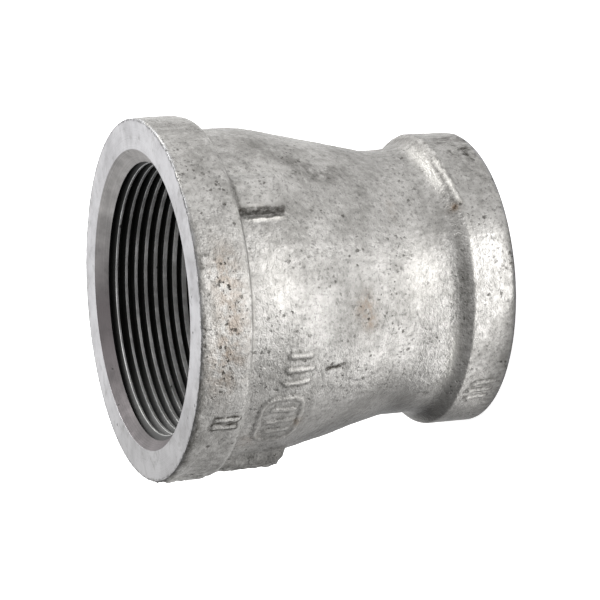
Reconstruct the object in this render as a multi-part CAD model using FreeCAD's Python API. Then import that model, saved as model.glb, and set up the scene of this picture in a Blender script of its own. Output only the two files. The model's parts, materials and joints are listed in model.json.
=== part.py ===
import FreeCAD, Part
import math
import os
from FreeCAD import Vector

# Reducing pipe coupling, banded at both ends: one malleable-iron casting, hot-dip galvanized,
# then faced, chamfered and tapped at both ends. Millimetres, +Z along the axis.
# The origin is the centre of the small end's face, and the large end's face is up.

# Overall
length = 71.4
zinc_thickness = 0.1

# Large end, for 2 inch pipe
large_band_radius = 37.75
large_band_width = 11.0
large_body_radius = 34.8
large_bore_radius = 28.4
large_tapped_depth = 20.4
large_chamber_radius = 30.2
large_thread_major_radius = 30.05

# Small end, for 1-1/2 inch pipe
small_band_radius = 31.15
small_band_width = 9.5
small_body_radius = 28.35
small_bore_radius = 22.45
small_tapped_depth = 19.0
small_chamber_radius = 24.1
small_thread_major_radius = 24.03

# Body between the bands: a straight neck, then a cone up to the large body
neck_top = 21.0
cone_top = 49.5
large_band_slope = 0.8
small_band_slope = 2.9

# Corner rounds on the outside
large_shoulder_round = 2.4
small_shoulder_round = 0.8
large_band_fillet = 0.6
small_band_fillet = 3.0
neck_fillet = 9.0
cone_shoulder_round = 16.0

# Inside chamber between the two tapped lengths
chamber_shoulder_round = 1.0
chamber_cone_round = 9.0
chamber_cone_start = 22.6
chamber_cone_top = 47.5

# Pipe threads: 60 degree form, 11-1/2 threads an inch, taper 1 in 16 on diameter
thread_pitch = 25.4 / 11.5
thread_depth = 1.767
thread_half_angle = math.radians(30)
radius_taper = 1 / 32
thread_lead_in = 2.2
thread_mouth_share = 0.94
large_thread_start_degrees = 120
small_thread_start_degrees = 345
chamfer_beyond_thread = 1.35
smallest_groove_volume = 1.0

# How far a cutting tool reaches past the face it starts from, and how close two faces count as one
cut_margin = 1.0
touching = 0.01

# Two cast ribs that stand against the large band
rib_top_radius = 36.55
rib_round = 0.8
rib_root_radius = 33.0
parting_rib = {"start_degrees": 26.3, "width_degrees": 9.4, "bottom": 50.2}
side_rib = {"start_degrees": -89.0, "width_degrees": 12.0, "bottom": 47.0}

axis = Vector(0, 0, 1)
origin = Vector(0, 0, 0)
quarter_turn = 90
half_turn = 180
full_turn = 360


def offset_corners(points, inset):
    """Move each side of an open outline inwards by inset, and return the new corners."""
    lines = []
    for first, second in zip(points, points[1:]):
        along = Vector(second.x - first.x, 0, second.z - first.z)
        along.normalize()
        inward = Vector(-along.z, 0, along.x)
        lines.append((first + inward * inset, along))
    corners = [lines[0][0]]
    for (start, along), (other, direction) in zip(lines, lines[1:]):
        gap = other - start
        cross = along.x * direction.z - along.z * direction.x
        reach = (gap.x * direction.z - gap.z * direction.x) / cross
        corners.append(start + along * reach)
    last_start, last_along = lines[-1]
    corners.append(points[-1] + (last_start - points[-2]))
    return corners


def rounded_edges(corners, rounds):
    """Edges through the corners, each inner corner rounded by the arc radius given for it."""
    edges = []
    start = corners[0]
    for before, corner, after, radius in zip(corners, corners[1:], corners[2:], rounds):
        back = (before - corner).normalize()
        ahead = (after - corner).normalize()
        half_angle = back.getAngle(ahead) / 2
        trim = radius / math.tan(half_angle)
        centre_way = (back + ahead).normalize()
        middle = corner + centre_way * (radius / math.sin(half_angle) - radius)
        arc_start = corner + back * trim
        arc_end = corner + ahead * trim
        edges.append(Part.makeLine(start, arc_start))
        edges.append(Part.Arc(arc_start, middle, arc_end).toShape())
        start = arc_end
    edges.append(Part.makeLine(start, corners[-1]))
    return edges


def revolved(edges):
    """Close a side outline to the axis and turn it into a solid of revolution."""
    first = edges[0].firstVertex(True).Point
    last = edges[-1].lastVertex(True).Point
    low = Vector(0, 0, first.z)
    high = Vector(0, 0, last.z)
    closing = [Part.makeLine(last, high), Part.makeLine(high, low), Part.makeLine(low, first)]
    face = Part.Face(Part.Wire(edges + closing))
    return face.revolve(origin, axis, full_turn)


def body_envelope(inset):
    """The casting's outside as a full solid, its sides moved in by inset."""
    large_band_bottom = length - large_band_width
    small_band_top = small_band_width + small_band_slope
    sides = [
        Vector(small_band_radius, 0, 0),
        Vector(small_band_radius, 0, small_band_width),
        Vector(small_body_radius, 0, small_band_top),
        Vector(small_body_radius, 0, neck_top),
        Vector(large_body_radius, 0, cone_top),
        Vector(large_body_radius, 0, large_band_bottom - large_band_slope),
        Vector(large_band_radius, 0, large_band_bottom),
        Vector(large_band_radius, 0, length),
    ]
    rounds = [
        small_shoulder_round - inset,
        small_band_fillet + inset,
        neck_fillet + inset,
        cone_shoulder_round - inset,
        large_band_fillet + inset,
        large_shoulder_round - inset,
    ]
    return revolved(rounded_edges(offset_corners(sides, inset), rounds))


def rib(place, inset):
    """A short cast rib along the body, running up into the large band."""
    side_inset = math.degrees(inset / rib_top_radius)
    start = place["start_degrees"] + side_inset
    width = place["width_degrees"] - 2 * side_inset
    bottom = place["bottom"] + inset
    top = length - large_band_width + large_shoulder_round
    outer = rib_top_radius - inset
    section = Part.makePolygon([
        Vector(rib_root_radius, 0, bottom),
        Vector(outer, 0, bottom),
        Vector(outer, 0, top),
        Vector(rib_root_radius, 0, top),
        Vector(rib_root_radius, 0, bottom),
    ])
    solid = Part.Face(section).revolve(origin, axis, width)
    crown_edges = []
    for edge in solid.Edges:
        box = edge.BoundBox
        middle = edge.valueAt((edge.FirstParameter + edge.LastParameter) / 2)
        radius = math.hypot(middle.x, middle.y)
        on_crown = radius > outer - touching and box.ZMin < top - touching
        if on_crown:
            crown_edges.append(edge)
    solid = solid.makeFillet(rib_round - inset, crown_edges)
    # Angles are measured from -Y towards +X
    solid.rotate(origin, axis, start - quarter_turn)
    return solid


def outside(inset):
    """Everything that the outer surface encloses, bores not yet cut."""
    shape = body_envelope(inset)
    for place in (parting_rib, side_rib):
        shape = shape.fuse(rib(place, inset))
    return shape.removeSplitter()


def chamber(growth):
    """The as-cast hollow between the tapped lengths, its walls moved out by growth."""
    low = small_tapped_depth
    high = length - large_tapped_depth
    small_throat = small_bore_radius - cut_margin
    large_throat = large_bore_radius - cut_margin
    small_run = small_chamber_radius - small_throat
    large_run = large_chamber_radius - large_throat
    sides = [
        Vector(small_throat, 0, low - cut_margin),
        Vector(small_chamber_radius, 0, low - cut_margin + small_run),
        Vector(small_chamber_radius, 0, chamber_cone_start),
        Vector(large_chamber_radius, 0, chamber_cone_top),
        Vector(large_chamber_radius, 0, high + cut_margin - large_run),
        Vector(large_throat, 0, high + cut_margin),
    ]
    rounds = [
        chamber_shoulder_round + growth,
        chamber_cone_round - growth,
        chamber_cone_round + growth,
        chamber_shoulder_round + growth,
    ]
    return revolved(rounded_edges(offset_corners(sides, -growth), rounds))


def thread_groove(major_radius, depth):
    """The helical vee that a taper tap cuts, for a mouth at z = 0 that opens upwards."""
    bottom = -depth - thread_pitch
    root_radius = major_radius + radius_taper * bottom
    taper_degrees = math.degrees(math.atan(radius_taper))
    path = Part.makeHelix(thread_pitch, thread_lead_in - bottom, root_radius, taper_degrees)
    flank_slope = math.tan(thread_half_angle)
    root_half_width = (thread_pitch / 2 - thread_depth * flank_slope) / 2
    mouth_half_width = thread_mouth_share * thread_pitch / 2
    mouth_radius = root_radius - (mouth_half_width - root_half_width) / flank_slope
    inner_radius = mouth_radius - cut_margin
    upper = [
        Vector(root_radius, 0, root_half_width),
        Vector(mouth_radius, 0, mouth_half_width),
        Vector(inner_radius, 0, mouth_half_width),
    ]
    lower = [Vector(point.x, 0, -point.z) for point in reversed(upper)]
    section = Part.makePolygon(upper + lower + upper[:1])
    groove = Part.Wire(path).makePipeShell([section], True, True)
    groove.translate(Vector(0, 0, bottom))
    return groove


def chamfer_cone(major_radius):
    """The 45 degree countersink at a mouth at z = 0 that opens upwards."""
    radius = major_radius + chamfer_beyond_thread
    foot = Vector(0, 0, -radius)
    rim = Vector(radius + cut_margin, 0, cut_margin)
    section = Part.makePolygon([foot, rim, Vector(0, 0, cut_margin), foot])
    return Part.Face(section).revolve(origin, axis, full_turn)


def machined(shape, bore_radius, major_radius, depth, start_degrees):
    """Bore, countersink and tap the mouth at z = 0 that opens upwards."""
    bore = Part.makeCylinder(bore_radius, depth + cut_margin, Vector(0, 0, -depth))
    shape = shape.cut(bore).cut(chamfer_cone(major_radius))
    groove = thread_groove(major_radius, depth)
    groove.rotate(origin, axis, start_degrees)
    tapped = shape.cut(groove)
    if shape.Volume - tapped.Volume < smallest_groove_volume:
        raise RuntimeError("the thread groove cut nothing")
    return tapped


def iron_casting():
    """The bare iron: cast outside and chamber, machined ends."""
    shape = outside(zinc_thickness).cut(chamber(zinc_thickness))
    shape.translate(Vector(0, 0, -length))
    shape = machined(
        shape,
        large_bore_radius,
        large_thread_major_radius,
        large_tapped_depth,
        large_thread_start_degrees,
    )
    shape.translate(Vector(0, 0, length))
    shape.rotate(origin, Vector(1, 0, 0), half_turn)
    shape = machined(
        shape,
        small_bore_radius,
        small_thread_major_radius,
        small_tapped_depth,
        small_thread_start_degrees,
    )
    shape.rotate(origin, Vector(1, 0, 0), half_turn)
    return shape


def outer_zinc_coat():
    """The zinc left on the outside: the end faces were cut bare after dipping."""
    return outside(0).cut(outside(zinc_thickness))


def inner_zinc_coat():
    """The zinc left on the chamber wall: it ends where the two tapped lengths begin."""
    skin = chamber(zinc_thickness).cut(chamber(0))
    coated_length = length - small_tapped_depth - large_tapped_depth
    coated = Part.makeCylinder(large_body_radius, coated_length)
    coated.translate(Vector(0, 0, small_tapped_depth))
    return skin.common(coated)


def main():
    os.makedirs("parts", exist_ok=True)
    nodes = {
        "iron_casting": iron_casting(),
        "outer_zinc_coat": outer_zinc_coat(),
        "inner_zinc_coat": inner_zinc_coat(),
    }
    for name, shape in nodes.items():
        print(name, shape.ShapeType, len(shape.Solids), shape.isValid(), round(shape.Volume, 1))
        shape.exportStep(f"parts/{name}.step")


main()
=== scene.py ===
import json
import math

import bmesh
import bpy
from mathutils import Matrix, Vector, noise


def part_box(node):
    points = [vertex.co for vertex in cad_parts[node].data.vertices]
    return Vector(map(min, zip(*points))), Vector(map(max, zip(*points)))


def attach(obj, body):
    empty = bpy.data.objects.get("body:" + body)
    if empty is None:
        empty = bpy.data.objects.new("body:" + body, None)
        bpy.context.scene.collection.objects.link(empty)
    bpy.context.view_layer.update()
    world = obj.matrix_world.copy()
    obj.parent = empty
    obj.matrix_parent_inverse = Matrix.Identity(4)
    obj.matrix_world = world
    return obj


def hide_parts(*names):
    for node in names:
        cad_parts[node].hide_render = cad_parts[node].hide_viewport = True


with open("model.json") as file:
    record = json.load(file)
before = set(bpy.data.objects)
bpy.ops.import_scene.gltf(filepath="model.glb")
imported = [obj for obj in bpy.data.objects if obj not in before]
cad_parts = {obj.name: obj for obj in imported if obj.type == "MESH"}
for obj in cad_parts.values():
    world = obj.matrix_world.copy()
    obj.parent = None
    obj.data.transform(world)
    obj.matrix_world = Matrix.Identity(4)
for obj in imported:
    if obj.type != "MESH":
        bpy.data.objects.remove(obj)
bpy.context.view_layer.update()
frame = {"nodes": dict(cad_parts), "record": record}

mm = 0.001

coatLow, coatHigh = (Vector(corner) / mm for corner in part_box("outer_zinc_coat"))
fittingLength = coatHigh.z - coatLow.z
largeBand = coatHigh.x
mounts = {mount["name"]: mount for mount in frame["record"]["mounts"]}
largeThread = mounts["large_thread"]
largeBore = largeThread["dims"]["r_mm"]
smallBore = mounts["small_thread"]["dims"]["r_mm"]
largeBoreTop = largeThread["pos_m"][2] / mm + largeThread["dims"]["length_mm"] / 2
chamferDepth = fittingLength - largeBoreTop
print("frame read", round(fittingLength, 2), round(largeBand, 2))


# Angles go round the axis in degrees from the -Y side towards +X.
# Heights are mm above the small end's face.


def smoothStep(low, high, value):
    share = min(max((value - low) / (high - low), 0), 1)
    return share * share * (3 - 2 * share)


def bell(value, middle, spread):
    return math.exp(-((value - middle) / spread) ** 2)


def wrapDegrees(angle):
    return (angle + 180) % 360 - 180


def arcLength(angle, middle, radius):
    # mm round the axis from the middle angle to this one
    return wrapDegrees(angle - middle) * math.radians(1) * radius


castSkin = {
    "steps": 480,
    "frontDensity": 0.5,  # the steps are this much closer on the -Y side
    "rowLength": 0.44,
    "wall": 0.35,
    "corners": [
        (31.15, 0), (31.15, 9.5), (28.35, 12.4), (28.35, 21.0),
        (34.8, 49.5), (34.8, 59.6), (largeBand, 60.4), (largeBand, fittingLength),
    ],
    "rounds": [0.4, 0.8, 3.0, 9.0, 16.0, 0.6, 2.4, 0.42],
    "leastRoundSteps": 3,
    "roundStepsPerMm": 1.5,
    "steppedUpTo": 4,  # a round with a larger radius gets no further steps
    "weld": 0.001,
    "lift": 0.12,
    "lowest": -0.06,
    "endFade": 0.5,
    "castFrom": 0.99,  # a point takes relief where it is at least this much cast
    "smoothAngle": 50,
    # layers of unevenness: depth in mm, waves per mm, and a shift that keeps the layers apart
    "unevenness": [
        (0.16, 0.07, (0, 0, 0)), (0.10, 0.21, (5, 0, 0)), (0.07, 0.62, (0, 9, 0)), (0.045, 1.25, (0, 0, 4)),
    ],
}

partingLine = {
    "angles": (30.2, 210.2),
    "radius": 32,
    "rise": 0.045,
    "reach": 2,
    "edge": (0.1, 0.5),
    "starts": (14, 20),
    "ends": (46, 50),
}

# Broad swellings of the casting: a faint lens of metal on the cone, and where it is leaner or fuller
swellings = {
    "lensHeight": 33, "lensWay": -33, "lensUp": 5, "lensDegrees": 6, "lensEdge": (0.55, 1.1), "lensRise": 0.16,
    "leanWay": -95, "leanDegrees": 42, "leanEnds": (22, 36), "leanDepth": 0.32,
    "shoulderFrom": (28, 40), "shoulderTo": (80, 110), "shoulderHeight": 12.3, "shoulderUp": 2.0,
    "shoulderRise": 0.55,
}

# Cast ribs against the large band: degrees, mm heights, crown radius, and how soft each side is
ribs = [
    {"from": 26.2, "to": 39.5, "bottom": 49.8, "crown": 36.55, "faceShadeShare": 0.5, "highSide": 4.0,
     "end": 0.9, "rough": 0.0},
    {"from": -92.0, "to": -73.5, "bottom": 46.2, "crown": 36.7, "faceShadeShare": 1.6, "highSide": 3.6,
     "end": 1.8, "rough": 0.45},
]
ribSurface = {"radius": 36, "sideReach": 6, "endReach": 4, "wobbleScale": 0.45, "roughScale": 0.8}

# Raised marks are plain bars and one plain rounded frame, in mm from the middle of each: up, and around
# The marks carry painted light: a raised mark's foot is darkened as painted shadow and its crest lightened as
# painted highlight, and a sunk mark is darkened as painted shade.
marks = [
    {"height": 51.2, "angle": -49.5, "radius": 34.8, "rise": 0.36, "width": 0.7, "dirtAndShade": 0.55,
     "frame": (4.6, 6.4, 3.2),
     "bars": [((-2.6, 3.1), (2.4, 3.3)), ((-3.0, 0.1), (3.0, -0.1)), ((-2.5, -3.0), (2.7, -3.2))]},
    {"height": 48.9, "angle": -30.0, "radius": 34.6, "rise": 0.42, "width": 0.8, "dirtAndShade": 0.8,
     "bars": [((-2.2, 3.9), (2.0, 4.3)), ((-2.7, 1.0), (2.4, 1.2)), ((-2.2, -1.9), (2.8, -1.8))]},
    {"height": 64.7, "angle": -43.0, "radius": 37.75, "rise": 0.4, "width": 0.75, "dirtAndShade": 1.5,
     "bars": [((-2.0, -0.95), (2.3, -0.85)), ((-2.4, 1.0), (1.7, 1.05))]},
    {"height": 5.0, "angle": -50.5, "radius": 31.15, "rise": 0.36, "width": 0.75, "dirtAndShade": 0.8,
     "bars": [((-2.8, 2.6), (1.8, 2.2)), ((-2.2, 0.2), (2.6, -0.1)), ((-1.8, -2.3), (2.2, -2.6))]},
    {"height": 40.4, "angle": -30.0, "radius": 33.0, "rise": -0.08, "width": 0.7, "dirtAndShade": 1.6,
     "bars": [((-1.9, 0.1), (1.9, -0.1))]},
    {"height": 55.0, "angle": 23.9, "radius": 34.8, "rise": 0.42, "width": 0.3, "dirtAndShade": 0.0, "crestHighlight": 0.5,
     "bars": [((-4.6, 0.1), (3.4, 0.0))]},
    {"height": 56.4, "angle": 27.4, "radius": 36.5, "rise": 0.26, "width": 0.45, "dirtAndShade": 0.0, "crestHighlight": 0.25,
     "bars": [((-1.6, 0.1), (1.8, 0.0))]},
    {"height": 10.1, "angle": 42.0, "radius": 31.0, "rise": 0.3, "width": 0.5, "dirtAndShade": 0.35, "crestHighlight": 0.45,
     "bars": [((-0.5, -6.9), (0.0, -2.0)), ((0.0, -2.0), (0.45, 7.0))]},
]
markShape = {
    "reachUp": 8,
    "reachAround": 10,
    "softInside": 0.3,
    "softOutside": 0.4,
    "footStart": 0.3,
    "footEnd": 0.85,
    "crestHighlight": 0.12,
    "unevenness": [(0.3, 0.9), (0.1, 2.3)],  # mm, and waves per mm
}

# Marked places: middle height and angle, half sizes up and around in mm, and strength
stains = [
    (66.0, 6.0, 2.6, 5.0, 0.9), (64.5, -8.0, 3.4, 7.0, 0.75), (66.5, -22.0, 3.4, 6.0, 0.8),
    (10.6, 28.0, 1.1, 1.0, 1.6), (34.0, -9.0, 2.0, 3.0, 0.9), (32.5, -14.0, 1.4, 2.6, 0.9),
    (56.5, -60.0, 2.0, 3.0, 0.5), (47.0, -52.0, 1.2, 1.2, 1.2), (24.0, 30.0, 1.0, 4.0, 0.3),
    (69.0, 150.0, 3.0, 9.0, 0.6), (40.0, 200.0, 5.0, 8.0, 0.5), (8.0, 245.0, 2.5, 7.0, 0.6),
]
smudges = [
    (41.0, 46.0, 7.0, 5.0, 0.7), (36.0, 52.0, 4.0, 4.0, 0.5), (3.5, 61.0, 3.6, 6.0, 2.4),
    (50.0, 58.0, 5.0, 4.0, 0.4), (23.0, 48.0, 3.0, 4.0, 0.5), (53.0, -80.0, 6.0, 6.0, 0.7),
    (64.0, -66.0, 4.0, 8.0, 0.4), (30.0, 38.0, 3.0, 2.0, 0.4), (63.0, 66.0, 5.0, 5.0, 0.4),
    (12.0, 120.0, 6.0, 9.0, 0.6), (45.0, 170.0, 9.0, 9.0, 0.5), (66.0, 235.0, 5.0, 9.0, 0.6),
]
# broad patches of painted shade, most on the -X underside, some on the front of the cone
specksAndShade = [
    (30.0, -82.0, 15.0, 11.0, 0.95), (6.0, -76.0, 5.0, 7.0, 0.5), (48.0, -67.0, 8.0, 9.0, 0.55),
    (37.0, -2.0, 5.5, 9.0, 0.3), (40.0, -22.0, 5.0, 8.0, 0.2), (21.0, -50.0, 6.5, 9.0, 0.5),
    (32.0, -50.0, 8.0, 7.0, 0.3), (19.0, -76.0, 6.0, 9.0, 0.7), (12.5, -80.0, 2.6, 6.0, 0.7),
    (34.0, -76.0, 6.0, 8.0, 0.3), (38.0, -72.0, 6.0, 6.0, 0.35), (9.5, -64.0, 3.0, 6.0, 0.35),
    (34.0, 160.0, 9.0, 16.0, 0.4),
]
# painted highlights: bright patches on the small band's shoulder and slope, on both bands, and on the front of
# the neck and body
paintedHighlight = [
    (12.1, 42.0, 1.1, 4.0, 0.3), (12.2, 52.0, 1.2, 4.5, 0.36), (12.4, 63.0, 1.5, 6.0, 0.4),
    (60.9, 12.0, 0.5, 9.0, 0.25), (9.0, 8.0, 0.6, 8.0, 0.25), (19.5, 2.0, 4.0, 8.0, 0.28),
    (12.2, -36.0, 0.9, 8.5, 0.7), (54.0, 3.0, 5.0, 8.0, 0.2), (66.0, 2.0, 3.0, 6.0, 0.14),
]
placeShape = {"radius": 34, "reach": 2.2, "most": 1.5}

# Painted shade in the corners; at the rims a dark strip of dirt and painted shade, left out on the +X side
cornerShade = {
    "bandHeight": 59.9, "bandWidth": 0.45, "bandShare": 0.7,
    "bandWay": 40, "bandReach": (45, 55), "bandFaded": 0.25,
    "ledgeWay": 26.2, "ledgeDegrees": 0.9, "ledgeShare": 1.1,
    "ledgeStarts": (49.3, 50.4), "ledgeEnds": (59, 61),
    "slopeHeight": 10.9, "slopeWidth": 1.0, "slopeLeast": 0.15, "slopeExtra": 0.3, "slopeWays": (-35, 5),
    "most": 1.4,
}
rimWearAndShade = {
    "bare": (0.2, 0.6), "bareScale": 0.35, "bareBreaks": (-0.5, 0.1),
    "dirtAndShadeShare": 0.8, "largeEndReach": 1.0, "smallEndReach": 0.25, "fade": 1.6,
    "dirtAndShadeScale": 0.3, "dirtAndShadeBreaks": (-0.3, 0.2), "dirtAndShadeLeast": 0.45, "dirtAndShadeExtra": 0.55,
    "litSideFrom": (8, 26), "litSideTo": (150, 190),
}
maskNames = ("dirtAndShade", "stain", "smudge", "dullToneAndShade", "highlight", "rim")


def drawOutline(bm, corners, rounds, castShare):
    # castShare marks each corner: 1 on a cast surface that takes relief, 0 where it stays smooth
    cast = bm.verts.layers.float.new("cast")
    verts = []
    for (radius, height), share in zip(corners, castShare):
        vert = bm.verts.new((radius * mm, 0, height * mm))
        vert[cast] = share
        verts.append(vert)
    for first, second in zip(verts, verts[1:] + verts[:1]):
        bm.edges.new((first, second))
    for vert, radius in zip(verts, rounds):
        if radius:
            arms = [(edge.other_vert(vert).co - vert.co).normalized() for edge in vert.link_edges]
            halfAngle = arms[0].angle(arms[1]) / 2
            stepped = min(radius, castSkin["steppedUpTo"])
            bmesh.ops.bevel(
                bm, geom=[vert], offset=radius * mm / math.tan(halfAngle), affect="VERTICES",
                segments=castSkin["leastRoundSteps"] + int(stepped * castSkin["roundStepsPerMm"]),
                profile=0.5, material=-1,
            )


def insetCorners(corners, wall):
    # the same outline moved inwards by wall, in reverse order
    moved = []
    for place, (radius, height) in enumerate(corners):
        here = Vector((radius, height))
        sides = []
        if place:
            sides.append((here - Vector(corners[place - 1])).normalized())
        if place < len(corners) - 1:
            sides.append((Vector(corners[place + 1]) - here).normalized())
        inward = sum((Vector((-side.y, side.x)) for side in sides), Vector((0, 0))).normalized()
        reach = wall / inward.dot(Vector((-sides[0].y, sides[0].x)))
        moved.append(tuple(here + inward * reach))
    return moved[::-1]


def splitLongEdges(bm, longest):
    cast = bm.verts.layers.float["cast"]
    for edge in list(bm.edges):
        cuts = int(edge.calc_length() / (longest * mm))
        if cuts and all(vert[cast] for vert in edge.verts):
            bmesh.ops.subdivide_edges(bm, edges=[edge], cuts=cuts)


def turnOutline(bm, turnSteps):
    bmesh.ops.spin(
        bm, geom=bm.verts[:] + bm.edges[:], cent=(0, 0, 0), axis=(0, 0, 1),
        angle=math.tau, steps=turnSteps, use_merge=True, use_duplicate=False,
    )
    bmesh.ops.remove_doubles(bm, verts=bm.verts, dist=castSkin["weld"] * mm)
    bmesh.ops.recalc_face_normals(bm, faces=bm.faces)


def finishMesh(bm, name, node, materials, smoothAngle):
    mesh = bpy.data.meshes.new(name)
    bm.to_mesh(mesh)
    bm.free()
    piece = bpy.data.objects.new(name, mesh)
    bpy.context.scene.collection.objects.link(piece)
    for material in materials:
        mesh.materials.append(material)
    mesh.shade_smooth()
    mesh.set_sharp_from_angle(angle=math.radians(smoothAngle))
    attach(piece, "root")
    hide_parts(node)
    return piece


def ribRadius(angle, height, base, spot):
    radius = base
    for rib in ribs:
        across = arcLength(angle, rib["from"], ribSurface["radius"])
        width = arcLength(rib["to"], rib["from"], ribSurface["radius"])
        beside = -ribSurface["sideReach"] < across < width + ribSurface["sideReach"]
        if beside and height > rib["bottom"] - ribSurface["endReach"]:
            wobble = rib["rough"] * noise.noise(spot * ribSurface["wobbleScale"])
            low, high, end = rib["faceShadeShare"] / 2, rib["highSide"] / 2, rib["end"] / 2
            share = smoothStep(-low, low, across + wobble)
            share *= 1 - smoothStep(width - high, width + high, across - wobble)
            share *= smoothStep(rib["bottom"] - end, rib["bottom"] + end, height + 2 * wobble)
            radius += max(rib["crown"] - base, 0) * share
            radius += rib["rough"] * share * noise.noise(spot * ribSurface["roughScale"])
    return radius


def barDistance(along, around, bar):
    (startAlong, startAround), (endAlong, endAround) = bar
    runAlong, runAround = endAlong - startAlong, endAround - startAround
    share = ((along - startAlong) * runAlong + (around - startAround) * runAround)
    share = min(max(share / (runAlong ** 2 + runAround ** 2), 0), 1)
    return math.hypot(along - startAlong - runAlong * share, around - startAround - runAround * share)


def frameDistance(along, around, frameSize):
    halfAlong, halfAround, corner = frameSize
    pastAlong = abs(along) - halfAlong + corner
    pastAround = abs(around) - halfAround + corner
    outside = math.hypot(max(pastAlong, 0), max(pastAround, 0))
    return abs(outside + min(max(pastAlong, pastAround), 0) - corner)


def markRelief(angle, height, spot):
    # how far a mark lifts the surface here, how much painted shade sits at its foot or fills its groove, and
    # how much painted highlight lies on its crest
    rise, dirtAndShade, crestHighlight = 0.0, 0.0, 0.0
    for mark in marks:
        along = height - mark["height"]
        around = arcLength(angle, mark["angle"], mark["radius"])
        if abs(along) > markShape["reachUp"] or abs(around) > markShape["reachAround"]:
            continue
        distance = min(barDistance(along, around, bar) for bar in mark["bars"])
        if "frame" in mark:
            distance = min(distance, frameDistance(along, around, mark["frame"]))
        distance += sum(depth * noise.noise(spot * scale) for depth, scale in markShape["unevenness"])
        half = mark["width"] / 2
        share = 1 - smoothStep(half - markShape["softInside"], half + markShape["softOutside"], distance)
        rise += mark["rise"] * share
        if mark["rise"] > 0:
            crestHighlight += mark.get("crestHighlight", markShape["crestHighlight"]) * share
            footStart, footEnd = half + markShape["footStart"], half + markShape["footEnd"]
            foot = smoothStep(half, footStart, distance) * (1 - smoothStep(footStart, footEnd, distance))
            dirtAndShade += mark["dirtAndShade"] * foot
        else:
            dirtAndShade += mark["dirtAndShade"] * share
    return rise, dirtAndShade, crestHighlight


def placeShare(places, angle, height):
    total = 0.0
    for middle, way, up, around, strength in places:
        along = (height - middle) / up
        if abs(along) < placeShape["reach"]:
            across = arcLength(angle, way, placeShape["radius"]) / around
            if abs(across) < placeShape["reach"]:
                total += strength * math.exp(-along * along - across * across)
    return min(total, placeShape["most"])


def castRelief(angle, height, spot):
    # spot is the place in mm; the result is added to the radius
    relief = 0.0
    for depth, scale, shift in castSkin["unevenness"]:
        relief += depth * noise.noise(spot * scale + Vector(shift))
    for parting in partingLine["angles"]:
        across = abs(arcLength(angle, parting, partingLine["radius"]))
        if across < partingLine["reach"]:
            along = smoothStep(*partingLine["starts"], height) * (1 - smoothStep(*partingLine["ends"], height))
            relief += partingLine["rise"] * (1 - smoothStep(*partingLine["edge"], across)) * along
    up = (height - swellings["lensHeight"]) / swellings["lensUp"]
    across = wrapDegrees(angle - swellings["lensWay"]) / swellings["lensDegrees"]
    relief += swellings["lensRise"] * (1 - smoothStep(*swellings["lensEdge"], up ** 2 + across ** 2))
    # the neck and the small band are a little leaner on the -X side
    lean = bell(wrapDegrees(angle - swellings["leanWay"]), 0, swellings["leanDegrees"])
    relief -= swellings["leanDepth"] * lean * (1 - smoothStep(*swellings["leanEnds"], height))
    # the shoulder beside the small band is fuller on the +X side
    shoulder = smoothStep(*swellings["shoulderFrom"], angle) * (1 - smoothStep(*swellings["shoulderTo"], angle))
    shoulder *= bell(height, swellings["shoulderHeight"], swellings["shoulderUp"])
    return relief + swellings["shoulderRise"] * shoulder


def cornerShadeShare(angle, height):
    # painted shade along the large band's lower corner, beside the upper rib and on the small band's slope
    band = bell(height, cornerShade["bandHeight"], cornerShade["bandWidth"])
    away = abs(wrapDegrees(angle - cornerShade["bandWay"]))
    band *= 1 - cornerShade["bandFaded"] * smoothStep(*cornerShade["bandReach"], away)
    ledge = bell(angle, cornerShade["ledgeWay"], cornerShade["ledgeDegrees"])
    ledge *= smoothStep(*cornerShade["ledgeStarts"], height)
    ledge *= 1 - smoothStep(*cornerShade["ledgeEnds"], height)
    slope = cornerShade["slopeLeast"] + cornerShade["slopeExtra"] * smoothStep(*cornerShade["slopeWays"], angle)
    slope *= bell(height, cornerShade["slopeHeight"], cornerShade["slopeWidth"])
    return cornerShade["bandShare"] * band + cornerShade["ledgeShare"] * ledge + slope


def rimShares(angle, height, spot):
    # how bare the turned rim is here, and how dark the strip along it is; the strip is dirt and painted shade,
    # and the +X side is left light
    toEnd = min(height, fittingLength - height)
    bare = 1 - smoothStep(*rimWearAndShade["bare"], toEnd)
    bare *= smoothStep(*rimWearAndShade["bareBreaks"], noise.noise(spot * rimWearAndShade["bareScale"]))
    dirtAndShade = smoothStep(*rimWearAndShade["dirtAndShadeBreaks"], noise.noise(spot * rimWearAndShade["dirtAndShadeScale"]))
    dirtAndShade = rimWearAndShade["dirtAndShadeLeast"] + rimWearAndShade["dirtAndShadeExtra"] * dirtAndShade
    dirtAndShade *= 1 - smoothStep(*rimWearAndShade["litSideFrom"], angle) * (1 - smoothStep(*rimWearAndShade["litSideTo"], angle))
    reach = rimWearAndShade["largeEndReach"] if height > fittingLength / 2 else rimWearAndShade["smallEndReach"]
    dirtAndShade *= 1 - smoothStep(reach, rimWearAndShade["fade"] * reach, toEnd)
    return bare, rimWearAndShade["dirtAndShadeShare"] * dirtAndShade


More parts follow.
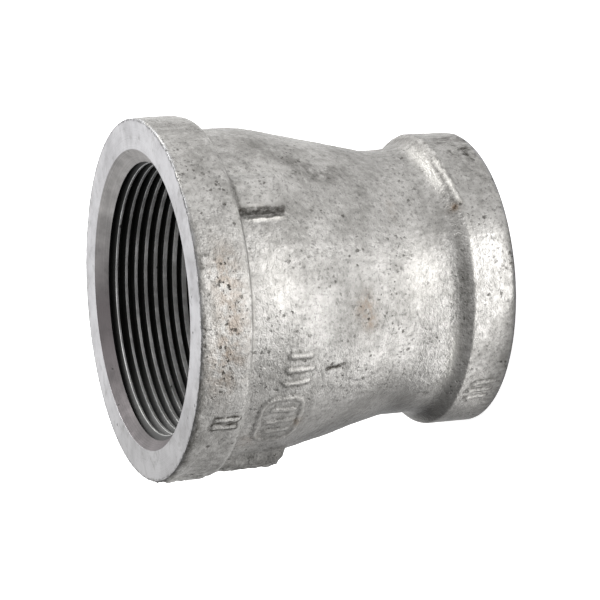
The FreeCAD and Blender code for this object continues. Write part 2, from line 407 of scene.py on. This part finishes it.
def makeCastSkin(material):
    bm = bmesh.new()
    outer = castSkin["corners"]
    inner = insetCorners(outer, castSkin["wall"])
    rounds = castSkin["rounds"] + [0] * len(inner)
    drawOutline(bm, outer + inner, rounds, [1] * len(outer) + [0] * len(inner))
    splitLongEdges(bm, castSkin["rowLength"])
    turnOutline(bm, castSkin["steps"])
    for name in maskNames:
        bm.verts.layers.float.new(name)
    layers = {name: bm.verts.layers.float[name] for name in ("cast", *maskNames)}
    for vert in bm.verts:
        radius = math.hypot(vert.co.x, vert.co.y) / mm
        height = vert.co.z / mm
        turn = math.atan2(vert.co.x, -vert.co.y)
        turn -= castSkin["frontDensity"] * math.sin(turn)
        angle = math.degrees(turn)
        grown = radius
        if vert[layers["cast"]] > castSkin["castFrom"]:
            spot = Vector((math.sin(turn) * radius, -math.cos(turn) * radius, height))
            ends = smoothStep(0, castSkin["endFade"], height)
            ends *= smoothStep(0, castSkin["endFade"], fittingLength - height)
            rise, markShade, crestHighlight = markRelief(angle, height, spot)
            relief = castSkin["lift"] + castRelief(angle, height, spot) + rise
            grown = ribRadius(angle, height, radius, spot)
            grown += max(relief, castSkin["lowest"]) * ends
            bare, rimDirtAndShade = rimShares(angle, height, spot)
            # painted shade at the marks and in the corners, and dirt with painted shade along the rims
            vert[layers["dirtAndShade"]] = min(markShade + cornerShadeShare(angle, height), cornerShade["most"]) + rimDirtAndShade
            vert[layers["stain"]] = placeShare(stains, angle, height)
            vert[layers["smudge"]] = placeShare(smudges, angle, height)
            # painted shade from the listed dark patches
            vert[layers["dullToneAndShade"]] = placeShare(specksAndShade, angle, height)
            # painted highlight from the listed bright patches and from the marks' crests
            vert[layers["highlight"]] = min(crestHighlight + placeShare(paintedHighlight, angle, height), 1)
            vert[layers["rim"]] = bare
        vert.co.x = math.sin(turn) * grown * mm
        vert.co.y = -math.cos(turn) * grown * mm
    bmesh.ops.recalc_face_normals(bm, faces=bm.faces)
    return finishMesh(bm, "castSkin", "outer_zinc_coat", [material], castSkin["smoothAngle"])


def newGroup(name, inputs, outputs):
    group = bpy.data.node_groups.new(name, "ShaderNodeTree")
    for label, value in inputs:
        socket = group.interface.new_socket(label, in_out="INPUT", socket_type="NodeSocketFloat")
        socket.default_value = value
    for label in outputs:
        group.interface.new_socket(label, in_out="OUTPUT", socket_type="NodeSocketFloat")
    return group, group.nodes.new("NodeGroupInput"), group.nodes.new("NodeGroupOutput")


def addNoise(tree, vector, scale, detail, roughness=0.5, distortion=0.0):
    node = tree.nodes.new("ShaderNodeTexNoise")
    node.inputs["Scale"].default_value = scale
    node.inputs["Detail"].default_value = detail
    node.inputs["Roughness"].default_value = roughness
    node.inputs["Distortion"].default_value = distortion
    tree.links.new(vector, node.inputs["Vector"])
    return node.outputs["Fac"]


def addMath(tree, operation, first, second=None, third=None, clamp=False):
    node = tree.nodes.new("ShaderNodeMath")
    node.operation = operation
    node.use_clamp = clamp
    for place, value in enumerate((first, second, third)):
        if value is None:
            continue
        if isinstance(value, (int, float)):
            node.inputs[place].default_value = value
        else:
            tree.links.new(value, node.inputs[place])
    return node.outputs[0]


def addRange(tree, value, low, high, toLow=0.0, toHigh=1.0):
    node = tree.nodes.new("ShaderNodeMapRange")
    node.interpolation_type = "SMOOTHSTEP"
    for label, number in (("From Min", low), ("From Max", high), ("To Min", toLow), ("To Max", toHigh)):
        node.inputs[label].default_value = number
    tree.links.new(value, node.inputs["Value"])
    return node.outputs["Result"]


def addPatches(tree, place, patches):
    # noise made into a mask: scale, detail, roughness, the noise levels it fades between, and its ends
    scale, detail, roughness, levels, *ends = patches
    return addRange(tree, addNoise(tree, place, scale, detail, roughness), *levels, *ends)


def addMix(tree, share, first, second):
    node = tree.nodes.new("ShaderNodeMix")
    node.data_type = "RGBA"
    for value, socket in ((share, node.inputs["Factor"]), (first, node.inputs[6]), (second, node.inputs[7])):
        if isinstance(value, tuple):
            socket.default_value = (*value, 1)
        elif isinstance(value, (int, float)):
            socket.default_value = value
        else:
            tree.links.new(value, socket)
    return node.outputs[2]


def addRadius(tree, apart):
    # distance from the axis, in metres
    square = addMath(tree, "MULTIPLY", apart.outputs["X"], apart.outputs["X"])
    square = addMath(tree, "MULTIPLY_ADD", apart.outputs["Y"], apart.outputs["Y"], square)
    return addMath(tree, "SQRT", square)


def splitPlace(tree, place):
    apart = tree.nodes.new("ShaderNodeSeparateXYZ")
    tree.links.new(place, apart.inputs["Vector"])
    return apart


def objectPlace(tree):
    return tree.nodes.new("ShaderNodeTexCoord").outputs["Object"]


grainShape = {
    "drawnOut": (0.8, 0.8, 1.35),  # the bumps are longer round the axis
    "peel": (950, 2.0, 0.55, 0.4),
    "fine": (2600, 2.0, 0.6),
    "cloudy": (90, 4.0, 0.62),
    "cloudyShare": (0.6, -0.05),
    "mottled": (700, 3.0, 0.6),
    "mottledShare": 0.45,
}


def makeGrainGroup():
    # rough cast surface under zinc: peel is the bumps a mm or so apart, fine is the tooth on them
    group, entry, leave = newGroup("castGrain", [("Peel", 1.0), ("Fine", 1.0)], ["Height", "Tone"])
    place = objectPlace(group)
    drawn = group.nodes.new("ShaderNodeVectorMath")
    drawn.operation = "MULTIPLY"
    drawn.inputs[1].default_value = grainShape["drawnOut"]
    group.links.new(place, drawn.inputs[0])
    peel = addNoise(group, drawn.outputs[0], *grainShape["peel"])
    fine = addNoise(group, place, *grainShape["fine"])
    height = addMath(group, "MULTIPLY", peel, entry.outputs["Peel"])
    height = addMath(group, "MULTIPLY_ADD", fine, entry.outputs["Fine"], height)
    cloudy = addNoise(group, place, *grainShape["cloudy"])
    tone = addMath(group, "MULTIPLY_ADD", cloudy, *grainShape["cloudyShare"])
    mottled = addNoise(group, place, *grainShape["mottled"])
    tone = addMath(group, "MULTIPLY_ADD", mottled, grainShape["mottledShare"], tone)
    group.links.new(height, leave.inputs["Height"])
    group.links.new(tone, leave.inputs["Tone"])
    return group


pitShape = {
    "wobbleScale": 1500,
    "wobble": (0.0009, 0.0009, 0.0009),
    "leastSize": 0.35,
    "edge": 0.55,
}


def makePitGroup():
    # scattered small pits: Density is how many of the cells have one
    group, entry, leave = newGroup("castPits", [("Cells", 400.0), ("Size", 0.2), ("Density", 0.3)], ["Mask"])
    place = objectPlace(group)
    wobble = group.nodes.new("ShaderNodeTexNoise")
    wobble.inputs["Scale"].default_value = pitShape["wobbleScale"]
    group.links.new(place, wobble.inputs["Vector"])
    bent = group.nodes.new("ShaderNodeVectorMath")
    bent.operation = "MULTIPLY_ADD"
    group.links.new(wobble.outputs["Color"], bent.inputs[0])
    bent.inputs[1].default_value = pitShape["wobble"]
    group.links.new(place, bent.inputs[2])
    cells = group.nodes.new("ShaderNodeTexVoronoi")
    group.links.new(bent.outputs[0], cells.inputs["Vector"])
    group.links.new(entry.outputs["Cells"], cells.inputs["Scale"])
    parts = group.nodes.new("ShaderNodeSeparateColor")
    group.links.new(cells.outputs["Color"], parts.inputs["Color"])
    size = addMath(group, "ADD", parts.outputs["Green"], pitShape["leastSize"])
    size = addMath(group, "MULTIPLY", size, entry.outputs["Size"])
    outward = addMath(group, "DIVIDE", cells.outputs["Distance"], size)
    inside = addMath(group, "SUBTRACT", 1.0, outward, clamp=True)
    inside = addRange(group, inside, 0.0, pitShape["edge"])
    chosen = addMath(group, "LESS_THAN", parts.outputs["Red"], entry.outputs["Density"])
    group.links.new(addMath(group, "MULTIPLY", inside, chosen), leave.inputs["Mask"])
    return group


ringShape = {
    "stretch": 6.0,
    "streaks": (1300, 3.0, 0.7),
    "ringDepth": 0.2,
    "streakShare": 0.5,
    "cloudy": (120, 4.0, 0.6),
}


def makeTurnedGroup():
    # fine rings left by a facing tool, and a little brushing across them
    group, entry, leave = newGroup("turnedRings", [("Spacing", 0.35)], ["Height", "Tone"])
    place = objectPlace(group)
    apart = splitPlace(group, place)
    radius = addRadius(group, apart)
    turns = addMath(group, "DIVIDE", radius, addMath(group, "MULTIPLY", entry.outputs["Spacing"], mm))
    ring = addMath(group, "SINE", addMath(group, "MULTIPLY", turns, math.tau))
    rows = group.nodes.new("ShaderNodeCombineXYZ")
    group.links.new(addMath(group, "MULTIPLY", radius, ringShape["stretch"]), rows.inputs["X"])
    group.links.new(addMath(group, "MULTIPLY", apart.outputs["Z"], ringShape["stretch"]), rows.inputs["Z"])
    streak = addNoise(group, rows.outputs["Vector"], *ringShape["streaks"])
    height = addMath(group, "MULTIPLY_ADD", ring, ringShape["ringDepth"], streak)
    cloudy = addNoise(group, place, *ringShape["cloudy"])
    tone = addMath(group, "MULTIPLY_ADD", streak, ringShape["streakShare"], cloudy)
    group.links.new(height, leave.inputs["Height"])
    group.links.new(tone, leave.inputs["Tone"])
    return group


def useGroup(tree, group, values):
    node = tree.nodes.new("ShaderNodeGroup")
    node.node_tree = group
    for label, value in values.items():
        node.inputs[label].default_value = value
    return node


def startMaterial(name, metallic, roughness):
    material = bpy.data.materials.new(name)
    material.use_nodes = True
    shader = material.node_tree.nodes["Principled BSDF"]
    shader.inputs["Metallic"].default_value = metallic
    shader.inputs["Roughness"].default_value = roughness
    return material, material.node_tree, shader


def addBump(tree, shader, height, depth):
    bump = tree.nodes.new("ShaderNodeBump")
    bump.inputs["Distance"].default_value = depth * mm
    tree.links.new(height, bump.inputs["Height"])
    tree.links.new(bump.outputs["Normal"], shader.inputs["Normal"])


def readMask(tree, name):
    node = tree.nodes.new("ShaderNodeAttribute")
    node.attribute_name = name
    return node.outputs["Fac"]


# Patches are scale, detail, roughness, the noise levels they fade between, and then least and most
zincLook = {
    "metallic": 0.82,
    "roughness": 0.46,
    "specularTint": (0.62, 0.62, 0.62, 1),
    "bright": (0.29, 0.284, 0.273),
    "dullToneAndShade": (0.15, 0.146, 0.138),
    "specksAndShade": (0.06, 0.058, 0.055),
    "paintedHighlight": (0.6, 0.585, 0.55),
    "dirtAndShade": (0.03, 0.027, 0.023),
    "rust": (0.115, 0.083, 0.057),
    "rim": (0.2, 0.2, 0.203),
    "tones": (0.3, 0.66),
    "grain": {"Peel": 1.0, "Fine": 0.65},
    "finePits": {"Cells": 1150.0, "Size": 0.44, "Density": 0.5},
    "largePits": {"Cells": 500.0, "Size": 0.23, "Density": 0.08},
    "pitPatches": (130, 5.0, 0.7, (0.44, 0.64), 0.04, 1.0),
    "specks": (1500, 3.0, 0.7, (0.52, 0.68), 0.0, 0.58),
    "blotches": (420, 4.0, 0.7, (0.34, 0.62)),
    "smears": (260, 5.0, 0.72, 0.8),
    "smearLevels": (0.38, 0.64),
    "dirtAndShadeBreaks": (900, 3.0, 0.7, (0.35, 0.6)),
    "dirtAndShadeShare": (0.5, 0.35),
    "pitsInStains": 1.4,
    "stainShare": 0.7,
    "smudgeShare": 0.85,
    "highlightShare": 0.8,
    "pitShare": 0.75,
    "roughTones": (-0.22, 0.56),
    "roughDirtAndShade": 0.25,
    "bumpDepth": 0.21,
    "pitDepth": 0.6,
}


def makeZinc(grain, pits):
    look = zincLook
    material, tree, shader = startMaterial("galvanizedZinc", look["metallic"], look["roughness"])
    shader.inputs["Specular Tint"].default_value = look["specularTint"]
    surface = useGroup(tree, grain, look["grain"])
    finePits = useGroup(tree, pits, look["finePits"])
    largePits = useGroup(tree, pits, look["largePits"])
    place = objectPlace(tree)
    stainMask = readMask(tree, "stain")
    # fine pits come in patches, and in the stains
    patchy = addPatches(tree, place, look["pitPatches"])
    patchy = addMath(tree, "MAXIMUM", patchy, addMath(tree, "MULTIPLY", stainMask, look["pitsInStains"]))
    small = addMath(tree, "MULTIPLY", finePits.outputs["Mask"], patchy)
    pitted = addMath(tree, "MAXIMUM", small, largePits.outputs["Mask"])
    base = addMix(tree, addRange(tree, surface.outputs["Tone"], *look["tones"]), look["dullToneAndShade"], look["bright"])
    base = addMix(tree, addPatches(tree, place, look["specks"]), base, look["specksAndShade"])
    # painted shade: the shade mask darkens the zinc in broad patches
    base = addMix(tree, readMask(tree, "dullToneAndShade"), base, look["specksAndShade"])
    stained = addMath(tree, "MULTIPLY", stainMask, addPatches(tree, place, look["blotches"]))
    stained = addMath(tree, "MULTIPLY", stained, look["stainShare"], clamp=True)
    base = addMix(tree, stained, base, look["rust"])
    smear = addRange(tree, addNoise(tree, place, *look["smears"]), *look["smearLevels"])
    smeared = addMath(tree, "MULTIPLY", readMask(tree, "smudge"), smear)
    smeared = addMath(tree, "MULTIPLY", smeared, look["smudgeShare"], clamp=True)
    base = addMix(tree, smeared, base, look["dirtAndShade"])
    # painted highlight: the highlight mask lightens the zinc
    highlighted = addMath(tree, "MULTIPLY", readMask(tree, "highlight"), look["highlightShare"])
    base = addMix(tree, highlighted, base, look["paintedHighlight"])
    base = addMix(tree, readMask(tree, "rim"), base, look["rim"])
    # dirt and painted shade at the marks, in the corners and along the rims
    breaks = addMath(tree, "MULTIPLY_ADD", addPatches(tree, place, look["dirtAndShadeBreaks"]), *look["dirtAndShadeShare"])
    shadeAndDirtShare = addMath(tree, "MULTIPLY", readMask(tree, "dirtAndShade"), breaks, clamp=True)
    base = addMix(tree, shadeAndDirtShare, base, look["dirtAndShade"])
    base = addMix(tree, addMath(tree, "MULTIPLY", pitted, look["pitShare"]), base, look["dirtAndShade"])
    tree.links.new(base, shader.inputs["Base Color"])
    rough = addMath(tree, "MULTIPLY_ADD", surface.outputs["Tone"], *look["roughTones"])
    rough = addMath(tree, "MULTIPLY_ADD", addMath(tree, "MAXIMUM", shadeAndDirtShare, smeared), look["roughDirtAndShade"], rough)
    tree.links.new(rough, shader.inputs["Roughness"])
    height = addMath(tree, "MULTIPLY_ADD", pitted, -look["pitDepth"], surface.outputs["Height"])
    addBump(tree, shader, height, look["bumpDepth"])
    return material


ironLook = {
    "metallic": 0.85,
    "roughness": 0.38,
    "face": (0.56, 0.555, 0.57),
    "faceDull": (0.36, 0.355, 0.365),
    "faceStainAndShade": (0.25, 0.245, 0.24),
    "chamferShaded": (0.1, 0.09, 0.092),
    "chamferLit": (0.66, 0.64, 0.63),
    "crest": (0.9, 0.9, 0.9),
    "crestShaded": (0.5, 0.5, 0.49),
    "flank": (0.03, 0.03, 0.029),
    "flankLit": (0.1, 0.1, 0.098),
    # where things lie, in mm
    "faceWithin": 0.02,
    "chamferMargin": 0.03,
    "crestEdges": (0.02, 0.2),  # how far up the flank the bright crest reaches
    "firstTurnShade": (2.8, 4.4),
    "chippedFrom": (8.55, 9.1),
    # fades of painted shade and painted light from the -X side to the +X side, in metres
    "faceShade": (-0.034, -0.012, 0.42, 0.0),
    "chamferShadeFade": (-0.002, 0.03),
    "threadShadeFade": (-0.026, -0.008),
    "tones": (0.5, 0.95),
    "rings": {"Spacing": 0.34},
    "nicks": {"Cells": 420.0, "Size": 0.19, "Density": 0.2},
    "stainNoise": (330, 6.0, 0.75, 0.6),
    "stainLevels": (0.5, 0.72),
    "stainShare": 0.65,
    "chips": (700, 3.0, 0.7, (0.45, 0.56)),
    "chipShare": 0.6,
    "chamferMottle": 0.5,
    "oil": (160, 4.0, 0.65, (0.35, 0.7), 0.55, 1.0),
    "nickShare": 0.8,
    "nickDepth": 2.0,
    "roughTones": (-0.12, 0.46),
    "chamferRough": 0.2,
    "bumpDepth": 0.02,
}


def ironFace(tree, place, across, outward, faceTone):
    # the turned end faces: brushed and stained, with painted shade on the -X side, chipped along the outer edge
    face = addMix(tree, faceTone, ironLook["faceDull"], ironLook["face"])
    # painted shade on the face's -X side
    faceShadeShare = addRange(tree, across, *ironLook["faceShade"])
    stains = addRange(tree, addNoise(tree, place, *ironLook["stainNoise"]), *ironLook["stainLevels"])
    stained = addMath(tree, "MULTIPLY_ADD", stains, ironLook["stainShare"], faceShadeShare, clamp=True)
    face = addMix(tree, stained, face, ironLook["faceStainAndShade"])
    atEdge = addRange(tree, outward, *ironLook["chippedFrom"])
    chipped = addMath(tree, "MULTIPLY", atEdge, addPatches(tree, place, ironLook["chips"]))
    return addMix(tree, addMath(tree, "MULTIPLY", chipped, ironLook["chipShare"]), face, ironLook["flank"])


def ironChamfer(tree, across, faceTone):
    # painted shade on the chamfer's -X side, painted light on its +X side
    chamfer = addMix(
        tree, addRange(tree, across, *ironLook["chamferShadeFade"]), ironLook["chamferShaded"], ironLook["chamferLit"],
    )
    mottle = addMath(tree, "MULTIPLY", addMath(tree, "SUBTRACT", 1.0, faceTone), ironLook["chamferMottle"])
    return addMix(tree, mottle, chamfer, ironLook["flank"])


def ironThread(tree, place, across, outward, fromEnd):
    # bright crests between dark flanks; on the -X side the crests are dimmed as painted shade and the flanks
    # lightened as painted light
    crest = addRange(tree, outward, *ironLook["crestEdges"], 1.0, 0.0)
    oily = addPatches(tree, place, ironLook["oil"])
    upperSide = addRange(tree, across, *ironLook["threadShadeFade"])
    # painted shade keeps the first turn's flanks dark all the way round
    firstTurnShade = addRange(tree, fromEnd, *ironLook["firstTurnShade"], 1.0, 0.0)
    flankShare = addMath(tree, "MAXIMUM", upperSide, firstTurnShade)
    flank = addMix(tree, flankShare, ironLook["flankLit"], ironLook["flank"])
    crestTone = addMix(tree, upperSide, ironLook["crestShaded"], ironLook["crest"])
    return addMix(tree, addMath(tree, "MULTIPLY", crest, oily), flank, crestTone)


def makeIron(turned, pits):
    look = ironLook
    material, tree, shader = startMaterial("turnedIron", look["metallic"], look["roughness"])
    place = objectPlace(tree)
    apart = splitPlace(tree, place)
    across = apart.outputs["X"]
    radius = addMath(tree, "DIVIDE", addRadius(tree, apart), mm)
    height = addMath(tree, "DIVIDE", apart.outputs["Z"], mm)
    upperHalf = addMath(tree, "GREATER_THAN", height, fittingLength / 2)
    bore = addMath(tree, "MULTIPLY_ADD", upperHalf, largeBore - smallBore, smallBore)
    outward = addMath(tree, "SUBTRACT", radius, bore)
    fromEnd = addMath(tree, "MINIMUM", height, addMath(tree, "SUBTRACT", fittingLength, height))
    onFace = addMath(tree, "LESS_THAN", fromEnd, look["faceWithin"])
    # the chamfer cone runs from the face down to the bore
    fromMouth = addMath(tree, "ADD", fromEnd, outward)
    onChamfer = addMath(tree, "LESS_THAN", fromMouth, chamferDepth + look["chamferMargin"])
    rings = useGroup(tree, turned, look["rings"])
    nicks = useGroup(tree, pits, look["nicks"])
    faceTone = addRange(tree, rings.outputs["Tone"], *look["tones"])
    thread = ironThread(tree, place, across, outward, fromEnd)
    base = addMix(tree, onChamfer, thread, ironChamfer(tree, across, faceTone))
    base = addMix(tree, onFace, base, ironFace(tree, place, across, outward, faceTone))
    nicked = addMath(tree, "MULTIPLY", nicks.outputs["Mask"], look["nickShare"])
    base = addMix(tree, nicked, base, look["flank"])
    tree.links.new(base, shader.inputs["Base Color"])
    rough = addMath(tree, "MULTIPLY_ADD", faceTone, *look["roughTones"])
    chamferOnly = addMath(tree, "SUBTRACT", onChamfer, onFace, clamp=True)
    matt = addMath(tree, "MULTIPLY", chamferOnly, look["chamferRough"])
    tree.links.new(addMath(tree, "ADD", rough, matt), shader.inputs["Roughness"])
    turnedParts = addMath(tree, "MAXIMUM", onFace, onChamfer)
    ringHeight = addMath(tree, "MULTIPLY", rings.outputs["Height"], turnedParts)
    bumpHeight = addMath(tree, "MULTIPLY_ADD", nicks.outputs["Mask"], -look["nickDepth"], ringHeight)
    addBump(tree, shader, bumpHeight, look["bumpDepth"])
    return material


chamberLook = {
    "metallic": 0.75,
    "roughness": 0.6,
    "dark": (0.09, 0.088, 0.083),
    "pale": (0.19, 0.186, 0.178),
    "hole": (0.03, 0.028, 0.025),
    "grain": {"Peel": 1.4, "Fine": 0.5},
    "holes": {"Cells": 260.0, "Size": 0.22, "Density": 0.3},
    "tones": (0.25, 0.7),
    "holeShare": 0.8,
    "holeDepth": 0.8,
    "roughTones": (-0.2, 0.7),
    "bumpDepth": 0.16,
}


def makeChamberZinc(grain, pits):
    look = chamberLook
    material, tree, shader = startMaterial("chamberZinc", look["metallic"], look["roughness"])
    surface = useGroup(tree, grain, look["grain"])
    holes = useGroup(tree, pits, look["holes"])
    base = addMix(tree, addRange(tree, surface.outputs["Tone"], *look["tones"]), look["dark"], look["pale"])
    base = addMix(tree, addMath(tree, "MULTIPLY", holes.outputs["Mask"], look["holeShare"]), base, look["hole"])
    tree.links.new(base, shader.inputs["Base Color"])
    rough = addMath(tree, "MULTIPLY_ADD", surface.outputs["Tone"], *look["roughTones"])
    tree.links.new(rough, shader.inputs["Roughness"])
    height = addMath(tree, "MULTIPLY_ADD", holes.outputs["Mask"], -look["holeDepth"], surface.outputs["Height"])
    addBump(tree, shader, height, look["bumpDepth"])
    return material


grainGroup = makeGrainGroup()
pitGroup = makePitGroup()
turnedGroup = makeTurnedGroup()
zinc = makeZinc(grainGroup, pitGroup)
iron = makeIron(turnedGroup, pitGroup)
chamberZinc = makeChamberZinc(grainGroup, pitGroup)
print("materials made")

skin = makeCastSkin(zinc)
for nodeName, material in (("iron_casting", iron), ("inner_zinc_coat", chamberZinc)):
    for materialSlot in frame["nodes"][nodeName].material_slots:
        materialSlot.material = material
print("pieces made", 2 * len(skin.data.polygons), "triangles in the cast skin")


floorSetup = {"halfSize": 6, "colour": (0.8, 0.8, 0.8, 1), "roughness": 0.9, "glow": 0.6}


def makeFloor():
    bm = bmesh.new()
    bmesh.ops.create_grid(bm, x_segments=1, y_segments=1, size=floorSetup["halfSize"])
    mesh = bpy.data.meshes.new("floor")
    bm.to_mesh(mesh)
    bm.free()
    floor = bpy.data.objects.new("floor", mesh)
    bpy.context.scene.collection.objects.link(floor)
    material, tree, shader = startMaterial("paleFloor", 0, floorSetup["roughness"])
    shader.inputs["Base Color"].default_value = floorSetup["colour"]
    shader.inputs["Emission Color"].default_value = (1, 1, 1, 1)
    shader.inputs["Emission Strength"].default_value = floorSetup["glow"]
    mesh.materials.append(material)


# Soft boxes in metres and watts. The cards lie just above the floor and face up.
softboxes = {
    "closeCard": {"place": (-0.0225, -0.042, 0.0006), "size": (0.069, 0.0205), "power": 0.0215},
    "sideCard": {"place": (-0.041, -0.023, 0.0006), "size": (0.016, 0.022), "power": 0.006},
    "nearCard": {"place": (-0.01, -0.09, 0.003), "size": (0.112, 0.06), "power": 0.032},
    "farCard": {"place": (-0.012, -0.24, 0.003), "size": (0.18, 0.24), "power": 0.77},
    "key": {"place": (0.45, 0.2, 0.35), "size": (0.45, 0.3), "power": 4.2, "faces": (0, 0, 0.03)},
}


def addSoftbox(name, setup):
    light = bpy.data.lights.new(name, "AREA")
    light.shape = "RECTANGLE"
    light.size, light.size_y = setup["size"]
    light.energy = setup["power"]
    lamp = bpy.data.objects.new(name, light)
    place = Vector(setup["place"])
    way = Vector(setup["faces"]) - place if "faces" in setup else Vector((0, 0, 1))
    lamp.location = place
    lamp.rotation_euler = way.to_track_quat("-Z", "Y").to_euler()
    lamp.visible_camera = False
    bpy.context.scene.collection.objects.link(lamp)


cameraSetup = {
    "elevation": 21.19,
    "roll": -94.43,
    "distance": 0.58075,
    "lens": 164.17,
    "sensorWidth": 36,
    "aimBelowAxis": 0.0025,
}


def addCamera():
    elevation = math.radians(cameraSetup["elevation"])
    roll = math.radians(cameraSetup["roll"])
    forward = Vector((0, math.cos(elevation), -math.sin(elevation)))
    level = Vector((1, 0, 0))
    upright = level.cross(forward)
    right = level * math.cos(roll) + upright * math.sin(roll)
    top = upright * math.cos(roll) - level * math.sin(roll)
    middle = Vector((0, 0, fittingLength / 2 * mm))
    data = bpy.data.cameras.new("camera")
    data.lens = cameraSetup["lens"]
    data.sensor_width = cameraSetup["sensorWidth"]
    camera = bpy.data.objects.new("camera", data)
    bpy.context.scene.collection.objects.link(camera)
    aim = middle - top * cameraSetup["aimBelowAxis"]
    place = aim - forward * cameraSetup["distance"]
    camera.matrix_world = Matrix.Translation(place) @ Matrix((right, top, -forward)).transposed().to_4x4()
    bpy.context.scene.camera = camera


studioLight = {
    "brightWay": (0.75, -0.1, 0.5),
    "fade": 0.9,
    "dark": 0.22,
    "bright": 1.55,
}


def makeWorld():
    # the room is brighter on the +X side and above
    world = bpy.data.worlds.new("studio")
    world.use_nodes = True
    tree = world.node_tree
    background = tree.nodes["Background"]
    facing = tree.nodes.new("ShaderNodeVectorMath")
    facing.operation = "DOT_PRODUCT"
    facing.inputs[1].default_value = Vector(studioLight["brightWay"]).normalized()
    tree.links.new(tree.nodes.new("ShaderNodeTexCoord").outputs["Generated"], facing.inputs[0])
    fade = addRange(
        tree, facing.outputs["Value"], -studioLight["fade"], studioLight["fade"],
        studioLight["dark"], studioLight["bright"],
    )
    tree.links.new(fade, background.inputs["Strength"])
    background.inputs["Color"].default_value = (1, 1, 1, 1)
    bpy.context.scene.world = world


makeFloor()
for name, setup in softboxes.items():
    addSoftbox(name, setup)
addCamera()
makeWorld()
bpy.context.scene.view_settings.view_transform = "Standard"
print("stage set")
